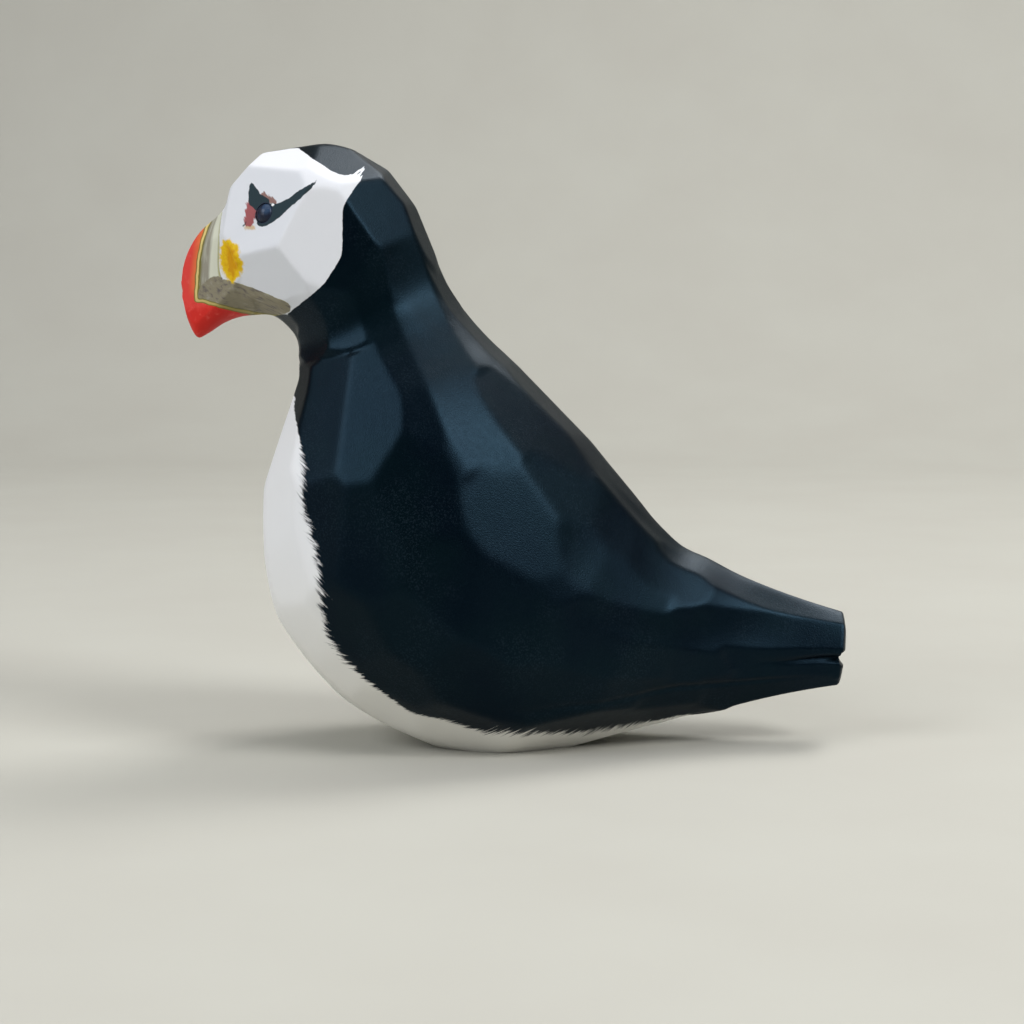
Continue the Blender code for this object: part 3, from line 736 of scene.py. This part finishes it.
class Finish:
    """A material whose nodes are added by short calls. Each call returns the node's output."""

    def __init__(self, name, specular, tint=(1, 1, 1, 1)):
        self.material = bpy.data.materials.new(name)
        self.material.use_nodes = True
        self.nodes = self.material.node_tree.nodes
        self.links = self.material.node_tree.links
        self.surface = self.nodes["Principled BSDF"]
        self.surface.inputs["Specular IOR Level"].default_value = specular
        self.surface.inputs["Specular Tint"].default_value = tint
        self.place = self.nodes.new("ShaderNodeTexCoord").outputs["Object"]

    def put(self, socket, value):
        """Links an output to a socket, or sets the socket to a plain value."""
        if isinstance(value, bpy.types.NodeSocket):
            self.links.new(value, socket)
        else:
            socket.default_value = value

    def field(self, name):
        node = self.nodes.new("ShaderNodeAttribute")
        node.attribute_type = "GEOMETRY"
        node.attribute_name = name
        return node.outputs["Fac"]

    def sum(self, operation, *values):
        node = self.nodes.new("ShaderNodeMath")
        node.operation = operation
        for socket, value in zip(node.inputs, values):
            self.put(socket, value)
        return node.outputs[0]

    def stretched(self, turn, stretch):
        """Places for a pattern that is turned, in degrees, and stretched along its axes."""
        node = self.nodes.new("ShaderNodeMapping")
        node.vector_type = "TEXTURE"
        self.links.new(self.place, node.inputs["Vector"])
        node.inputs["Rotation"].default_value = [math.radians(angle) for angle in turn]
        node.inputs["Scale"].default_value = stretch
        return node.outputs[0]

    def joined(self, x, y, z=0.0):
        node = self.nodes.new("ShaderNodeCombineXYZ")
        for socket, value in zip(node.inputs, (x, y, z)):
            self.put(socket, value)
        return node.outputs[0]

    def noise(self, size, detail=2.0, roughness=0.5, places=None):
        """Noise whose lumps are about this big, around zero."""
        node = self.nodes.new("ShaderNodeTexNoise")
        self.links.new(places or self.place, node.inputs["Vector"])
        node.inputs["Scale"].default_value = 1 / size
        node.inputs["Detail"].default_value = detail
        node.inputs["Roughness"].default_value = roughness
        return self.sum("SUBTRACT", node.outputs["Fac"], 0.5)

    def step(self, value, low, high, start=0.0, end=1.0):
        """A smooth step from start to end as the value goes from low to high."""
        node = self.nodes.new("ShaderNodeMapRange")
        node.interpolation_type = "SMOOTHSTEP"
        for name, number in (
            ("Value", value), ("From Min", low), ("From Max", high), ("To Min", start), ("To Max", end)
        ):
            self.put(node.inputs[name], number)
        return node.outputs[0]

    def mix(self, share, first, second):
        node = self.nodes.new("ShaderNodeMix")
        node.data_type = "RGBA"
        self.put(node.inputs["Factor"], share)
        colours = [socket for socket in node.inputs if socket.type == "RGBA"]
        self.put(colours[0], first)
        self.put(colours[1], second)
        return next(socket for socket in node.outputs if socket.type == "RGBA")

    def ramp(self, value, stops):
        """A colour that runs through the given stops."""
        node = self.nodes.new("ShaderNodeValToRGB")
        self.put(node.inputs["Fac"], value)
        elements = node.color_ramp.elements
        while len(elements) < len(stops):
            elements.new(0.5)
        for element, (position, colour) in zip(elements, stops):
            element.position = position
            element.color = colour
        return node.outputs["Color"]

    def bump(self, height, distance, strength=1.0):
        node = self.nodes.new("ShaderNodeBump")
        node.inputs["Distance"].default_value = distance
        node.inputs["Strength"].default_value = strength
        self.links.new(height, node.inputs["Height"])
        self.links.new(node.outputs["Normal"], self.surface.inputs["Normal"])

    def end(self, colour, roughness):
        self.put(self.surface.inputs["Base Color"], colour)
        self.put(self.surface.inputs["Roughness"], roughness)
        return self.material


NAVY = light_colour(0, 4, 11)
TEAL = light_colour(1, 9, 13)
# Painted highlight: the colour of faint lighter specks in the black, which stand in for the glints of
# its stipple.
PAINTED_GLINT_COLOUR = light_colour(78, 96, 112)
SHEEN_TINT = (0.30, 0.66, 1.0, 1)
WHITE = light_colour(238, 239, 241)
WARM_WHITE = light_colour(236, 234, 227)
FACE_WHITE = light_colour(226, 228, 233)
RED = light_colour(226, 70, 60)
DEEP_RED = light_colour(212, 46, 32)
PINK = light_colour(236, 118, 110)
ORANGE = light_colour(232, 124, 66)
YELLOW_LINE = light_colour(226, 202, 128)
OLIVE = light_colour(118, 112, 48)
GREY = light_colour(154, 149, 134)
PALE = light_colour(216, 217, 198)
PALE_OLIVE = light_colour(168, 164, 112)
WEDGE_GREY = light_colour(142, 134, 112)
WEDGE_DARK = light_colour(106, 98, 94)
YELLOW = light_colour(232, 192, 14)
DEEP_YELLOW = light_colour(212, 152, 2)
MARK = light_colour(44, 54, 56)
RIM = light_colour(44, 44, 60)
EYE_RED = light_colour(160, 72, 70)
BROWN = light_colour(132, 84, 66)
OCHRE = light_colour(206, 170, 116)
BEAD_NAVY = light_colour(40, 62, 90)
BEAD_DARK = light_colour(24, 30, 48)
FLOOR_COLOUR = light_colour(184, 184, 176)
FLOOR_SHADE = light_colour(180, 179, 171)

# How strongly each surface mirrors the light, and how rough it is, between two values where it
# varies. The white and the coloured paint is rougher than the black by this much.
PAINT_SPECULAR = 0.2
BEAD_SPECULAR = 0.3
FLOOR_SPECULAR = 0.2
BLACK_ROUGHNESS = (0.35, 0.39)
BEAD_ROUGHNESS = (0.34, 0.46)
FLOOR_ROUGHNESS = 0.8
COLOURED_ROUGHER = 0.14
# The relief of the paint: its depth, and the shares of the stipple, the lumps and the brush's
# streaks in it. Under the white and the coloured paint it is this share as deep.
RELIEF_DEPTH = 0.00007
STIPPLE_SHARE = 0.4
LUMP_SHARE = 0.06
STREAK_SHARE = 0.2
COLOURED_RELIEF = 0.3

# The sizes of the patterns in the paint.
SHADE_SIZE = 0.014
GLINT_PATCH_SIZE = 0.012
GLINT_SIZE = 0.00030
STREAK_SIZE = 0.0018
STIPPLE_SIZE = 0.00022
LUMP_SIZE = 0.0011
BORDER_SIZE = 0.0012
PETAL_SIZE = 0.0008
SPUR_HAIR_SIZE = 0.0005
# How far the borders of the face and the beak waver, and how soft they are, in millimetres.
BORDER_WAVER = 0.35
BORDER_SOFTNESS = 0.08
# Three patterns of hairs at the border of the bib: how many to a millimetre across the hairs and
# along them, then the detail and the roughness of the noise.
BIB_HAIR_PATTERN = (1.3, 0.35, 4.0, 0.8)
BIB_TUFT_PATTERN = (0.9, 0.15, 1.0, 0.5)
BIB_STRAND_PATTERN = (4.5, 0.25, 2.0, 0.6)
# How far each of the three reaches, in millimetres. The hairs are longer where tufts are thick.
HAIR_REACH = 4.5
HAIR_REACH_IN_TUFTS = 14.0
TUFT_REACH = 2.6
STRAND_REACH = 3.6
# The hairs lean more along the border from one of these places on it to the other.
HAIR_TURN_PLACES = (80.0, 100.0)
HAIR_SLANTS = (1.2, 2.0)
# Heights in the side view, in millimetres: where the red of the beak gets deeper, where orange
# shows beside the yellow line, where that line is faint, and where the bib's white gets warmer.
DEEP_RED_HEIGHTS = (79.2, 77.0)
ORANGE_HEIGHTS = (79.5, 82.5)
FAINT_LINE_HEIGHTS = (77.5, 81.0)
WARM_HEIGHTS = (40.0, 4.0)
# How far from its middle the yellow line ends, and the olive edge on both sides of it.
LINE_CORE = (0.28, 0.10)
LINE_EDGE = (0.46, 0.26)
# The bands of the grey part of the beak, by the share of the way from the line to the face.
BEAK_BANDS = (
    (0.10, OLIVE), (0.20, GREY), (0.44, GREY), (0.60, PALE), (0.88, PALE), (0.97, PALE_OLIVE),
)
# The marks round the eye, from the lowest layer up: colour, softness of the border, strength, and
# whether the border is ragged. Then how far a ragged and an even border waver, in millimetres.
EYE_MARKS = {
    "lid_stroke": (OCHRE, 0.25, 0.8, True),
    "brow_stroke": (BROWN, 0.14, 0.9, True),
    "eye_patch": (EYE_RED, 0.16, 0.95, True),
    "lid_corner": (MARK, 0.08, 0.9, False),
    "marks": (MARK, 0.07, 1.0, False),
    "eye_rim": (RIM, 0.14, 1.0, False),
}
RAGGED_WAVER = 1.1
EVEN_WAVER = 0.35


def hair_noise(finish, along_hair, depth, pattern):
    """Noise that is drawn out along the hairs of the brush."""
    across, along, detail, roughness = pattern
    places = finish.joined(
        finish.sum("MULTIPLY", along_hair, across), finish.sum("MULTIPLY", depth, along)
    )
    return finish.noise(1.0, detail, roughness, places=places)


def bib_share(finish):
    """How much the bib's white covers the black, with the hairs of the brush at its border."""
    depth = finish.field("bib")
    run = finish.field("bib_run")
    slant = finish.step(run, *HAIR_TURN_PLACES, *HAIR_SLANTS)
    along_hair = finish.sum("MULTIPLY_ADD", depth, slant, run)
    hairs = hair_noise(finish, along_hair, depth, BIB_HAIR_PATTERN)
    tufts = hair_noise(finish, along_hair, depth, BIB_TUFT_PATTERN)
    strands = hair_noise(finish, along_hair, depth, BIB_STRAND_PATTERN)
    lengths = finish.sum("MULTIPLY_ADD", tufts, HAIR_REACH_IN_TUFTS, HAIR_REACH)
    reach = finish.sum("MULTIPLY_ADD", hairs, lengths, finish.sum("MULTIPLY", tufts, TUFT_REACH))
    reach = finish.sum("MULTIPLY_ADD", strands, STRAND_REACH, reach)
    border = finish.sum("MULTIPLY_ADD", reach, finish.field("bib_hairs"), depth)
    softness = finish.sum("MULTIPLY_ADD", finish.field("bib_hairs"), 0.34, 0.05)
    return finish.step(border, finish.sum("MULTIPLY", softness, -1.0), softness)


def face_share(finish):
    """How much the face's white covers the black, with a few hairs at the tip of its spur."""
    edge = finish.noise(BORDER_SIZE, 2.0)
    hairs = finish.noise(SPUR_HAIR_SIZE, 1.0, places=finish.stretched((0, -50, 0), (8.0, 8.0, 1.0)))
    border = finish.sum("MULTIPLY_ADD", edge, BORDER_WAVER, finish.field("face"))
    border = finish.sum("MULTIPLY_ADD", finish.sum("MULTIPLY", hairs, 4.0), finish.field("spur"), border)
    return finish.step(border, -BORDER_SOFTNESS, BORDER_SOFTNESS)


def beak_colour(finish):
    """The beak's red, its yellow line, and the grey and pale bands behind it."""
    wobble = finish.noise(0.0022, 2.0)
    grey_side = finish.sum("MULTIPLY_ADD", wobble, 0.5, finish.field("beak_grey"))
    patches = finish.noise(0.0016, 3.0)
    patchy_height = finish.sum("MULTIPLY_ADD", patches, 5.0, finish.field("height"))
    red = finish.mix(finish.step(patchy_height, *DEEP_RED_HEIGHTS), RED, DEEP_RED)
    red = finish.mix(finish.step(patches, 0.04, 0.30, 0.0, 0.35), red, PINK)
    near_line = finish.step(grey_side, -1.7, -0.3, 0.0, 0.75)
    above = finish.step(finish.field("height"), *ORANGE_HEIGHTS)
    red = finish.mix(finish.sum("MULTIPLY", near_line, above), red, ORANGE)

    streaks = finish.noise(1.0, 2.0, places=finish.joined(
        finish.sum("MULTIPLY", finish.field("beak_share"), 9.0),
        finish.sum("MULTIPLY", finish.field("height"), 0.22),
    ))
    share = finish.sum("MULTIPLY_ADD", streaks, 0.16, finish.field("beak_share"))
    bands = finish.ramp(share, BEAK_BANDS)
    bands = finish.mix(finish.step(streaks, 0.0, 0.3, 0.0, 0.6), bands, PALE)
    colour = finish.mix(finish.step(grey_side, -0.06, 0.10), red, bands)

    blotches = finish.noise(0.0007, 3.0, places=finish.stretched((0, 20, 0), (3.5, 1.0, 1.0)))
    wedge = finish.mix(finish.step(blotches, 0.0, 0.22), WEDGE_GREY, WEDGE_DARK)
    wedge = finish.mix(finish.step(blotches, -0.06, -0.22), wedge, GREY)
    ragged = finish.sum("MULTIPLY_ADD", blotches, 0.9, finish.field("wedge"))
    colour = finish.mix(finish.step(ragged, -0.08, 0.14), colour, wedge)

    off_line = finish.sum("ABSOLUTE", grey_side)
    colour = finish.mix(finish.step(off_line, *LINE_EDGE), colour, OLIVE)
    core = finish.step(off_line, *LINE_CORE)
    faint = finish.step(finish.field("height"), *FAINT_LINE_HEIGHTS, 0.35, 1.0)
    return finish.mix(finish.sum("MULTIPLY", core, faint), colour, YELLOW_LINE)


def eye_colours(finish, colour):
    """The black, red and ochre marks round the eye, over the colour below them."""
    wobble = finish.noise(0.0007, 2.0)
    ragged = finish.noise(0.0005, 2.0, places=finish.stretched((0, 60, 0), (3.0, 3.0, 1.0)))
    for name, (paint, softness, strength, is_ragged) in EYE_MARKS.items():
        edge, gain = (ragged, RAGGED_WAVER) if is_ragged else (wobble, EVEN_WAVER)
        depth = finish.sum("MULTIPLY_ADD", edge, gain, finish.field(name))
        colour = finish.mix(finish.step(depth, -softness, softness, 0.0, strength), colour, paint)
    return colour


def painted_wood():
    """The paint of the whole bird: satin black, white, and the coloured beak and face."""
    finish = Finish("painted_wood", PAINT_SPECULAR, SHEEN_TINT)
    broad = finish.noise(SHADE_SIZE, 3.0)
    black = finish.mix(finish.step(broad, -0.15, 0.15), NAVY, TEAL)
    # Painted highlight: faint lighter specks, in patches, mixed into the black's colour in place of the
    # glints of its stipple.
    glints = finish.step(finish.noise(GLINT_SIZE, 1.0), -0.02, 0.20)
    glint_patches = finish.step(finish.noise(GLINT_PATCH_SIZE, 2.0), -0.10, 0.15, 0.01, 0.07)
    black = finish.mix(finish.sum("MULTIPLY", glints, glint_patches), black, PAINTED_GLINT_COLOUR)
    brushed = finish.noise(STREAK_SIZE, 3.0, places=finish.stretched((0, 25, 0), (1.0, 1.0, 5.0)))
    warm = finish.step(finish.field("height"), *WARM_HEIGHTS)
    white = finish.mix(warm, WHITE, WARM_WHITE)

    bib = bib_share(finish)
    edge = finish.noise(BORDER_SIZE, 2.0)
    face = face_share(finish)
    beak = finish.sum("MULTIPLY_ADD", edge, BORDER_WAVER, finish.field("beak"))
    beak = finish.step(beak, -BORDER_SOFTNESS, BORDER_SOFTNESS)
    petals = finish.noise(PETAL_SIZE, 2.0)
    rosette = finish.sum("MULTIPLY_ADD", petals, 1.4, finish.field("rosette"))
    rosette = finish.step(rosette, -0.30, 0.30)

    colour = finish.mix(bib, black, white)
    colour = finish.mix(face, colour, FACE_WHITE)
    colour = finish.mix(beak, colour, beak_colour(finish))
    middle = finish.sum("MULTIPLY_ADD", petals, 2.0, finish.field("rosette"))
    yellow = finish.mix(finish.step(middle, 0.3, 1.5), YELLOW, DEEP_YELLOW)
    colour = finish.mix(rosette, colour, yellow)
    colour = eye_colours(finish, colour)
    # Painted highlight: a white dot beside the bead stands in for the eye's glint.
    light = finish.step(finish.field("painted_eye_glint"), -0.06, 0.06)
    colour = finish.mix(light, colour, (1, 1, 1, 1))

    coloured = finish.sum("MAXIMUM", finish.sum("MAXIMUM", bib, face), beak)
    stipple = finish.sum("MULTIPLY", finish.noise(STIPPLE_SIZE, 1.0), STIPPLE_SHARE)
    lumps = finish.noise(LUMP_SIZE, 2.0)
    height = finish.sum("ADD", stipple, finish.sum("MULTIPLY", lumps, LUMP_SHARE))
    height = finish.sum("MULTIPLY_ADD", brushed, STREAK_SHARE, height)
    height = finish.sum("MULTIPLY", height, finish.step(coloured, 0.0, 1.0, 1.0, COLOURED_RELIEF))
    finish.bump(height, RELIEF_DEPTH)
    black_roughness = finish.step(lumps, -0.3, 0.3, *BLACK_ROUGHNESS)
    roughness = finish.sum("MULTIPLY_ADD", coloured, COLOURED_ROUGHER, black_roughness)
    return finish.end(colour, roughness)


def bead(name):
    """A satin navy bead with a darker cloud in it."""
    finish = Finish(name, BEAD_SPECULAR)
    cloud = finish.noise(0.0018, 1.0)
    colour = finish.mix(finish.step(cloud, -0.12, 0.12), BEAD_NAVY, BEAD_DARK)
    return finish.end(colour, finish.step(cloud, -0.3, 0.3, *BEAD_ROUGHNESS))


def make_bird():
    """The carved and painted body, in place of the CAD part's plainer solid."""
    mesh = grid_mesh("painted_bird", fitted(carved_bird(COLUMNS_AROUND)))
    saw_flat(mesh)
    bird = bpy.data.objects.new("painted_bird", mesh)
    bpy.context.scene.collection.objects.link(bird)
    with_sockets(bird)
    keep_fields(bird.data)
    bird.data.materials.clear()
    bird.data.materials.append(painted_wood())
    bird.data.polygons.foreach_set("use_smooth", [True] * len(bird.data.polygons))
    bird.data.set_sharp_from_angle(angle=math.radians(SHARP_ANGLE))
    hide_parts("bird")
    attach(bird, "root")


# The stage: a floor that turns up into a backdrop well behind the bird.
FLOOR_FRONT = -0.35
FLOOR_BACK = 0.55
FLOOR_HALF_WIDTH = 1.8
BACKDROP_RADIUS = 0.35
BACKDROP_HEIGHT = 1.6
BACKDROP_STEPS = 24


def make_stage():
    """A plain pale floor and backdrop in one sheet."""
    profile = [(FLOOR_FRONT, 0.0)]
    for step in range(BACKDROP_STEPS + 1):
        turn = step / BACKDROP_STEPS * math.pi / 2
        profile.append((
            FLOOR_BACK + BACKDROP_RADIUS * math.sin(turn),
            BACKDROP_RADIUS * (1 - math.cos(turn)),
        ))
    profile.append((FLOOR_BACK + BACKDROP_RADIUS, BACKDROP_HEIGHT))
    points = []
    for y, z in profile:
        points += [(-FLOOR_HALF_WIDTH, y, z), (FLOOR_HALF_WIDTH, y, z)]
    faces = [(2 * row, 2 * row + 1, 2 * row + 3, 2 * row + 2) for row in range(len(profile) - 1)]
    mesh = bpy.data.meshes.new("floor")
    mesh.from_pydata(points, [], faces)
    mesh.polygons.foreach_set("use_smooth", [True] * len(mesh.polygons))
    finish = Finish("floor_paper", FLOOR_SPECULAR)
    mottle = finish.step(finish.noise(0.05, 3.0), -0.4, 0.4)
    colour = finish.mix(mottle, FLOOR_COLOUR, FLOOR_SHADE)
    mesh.materials.append(finish.end(colour, FLOOR_ROUGHNESS))
    floor = bpy.data.objects.new("floor", mesh)
    bpy.context.scene.collection.objects.link(floor)


# The soft lights: place, size across, power in watts and colour. They point at the bird.
LIGHTS = {
    "key": ((0.42, 0.48, 0.90), 0.45, 6.3, (1.0, 0.98, 0.96)),
    "right": ((0.64, -0.46, 0.68), 0.4, 6.6, (1.0, 0.99, 0.98)),
    "left": ((-0.74, -0.48, 0.60), 0.6, 6.0, (0.97, 0.98, 1.0)),
    "top": ((0.0, 0.0, 1.0), 0.8, 3.0, (1.0, 0.98, 0.96)),
}
ROOM_LIGHT = (0.86, 0.90, 1.0)
ROOM_STRENGTH = 0.10


def make_lights():
    """Broad soft lights and the weaker light of the room."""
    for name, (place, size, power, colour) in LIGHTS.items():
        lamp = bpy.data.lights.new(name, "AREA")
        lamp.size = size
        lamp.energy = power
        lamp.color = colour
        light = bpy.data.objects.new(name, lamp)
        light.location = place
        light.rotation_mode = "QUATERNION"
        light.rotation_quaternion = (Vector(place) - VIEW_CENTRE).to_track_quat("Z", "Y")
        bpy.context.scene.collection.objects.link(light)
    world = bpy.data.worlds.new("room")
    world.use_nodes = True
    background = world.node_tree.nodes["Background"]
    background.inputs["Color"].default_value = (*ROOM_LIGHT, 1)
    background.inputs["Strength"].default_value = ROOM_STRENGTH
    bpy.context.scene.world = world


def make_camera():
    """The camera, at the photograph's viewing angle."""
    pitch = math.radians(VIEW_PITCH)
    camera = bpy.data.objects.new("camera", bpy.data.cameras.new("camera"))
    camera.data.lens = LENS
    back = Vector((0, -math.cos(pitch), math.sin(pitch)))
    camera.location = VIEW_CENTRE + back * VIEW_DISTANCE
    camera.rotation_euler = (math.pi / 2 - pitch, 0, 0)
    bpy.context.scene.collection.objects.link(camera)
    bpy.context.scene.camera = camera


make_camera()
make_lights()
make_stage()
make_bird()
for node in EYE_NODES:
    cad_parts[node].material_slots[0].material = bead(node + "_bead")
bpy.context.scene.view_settings.view_transform = "Standard"
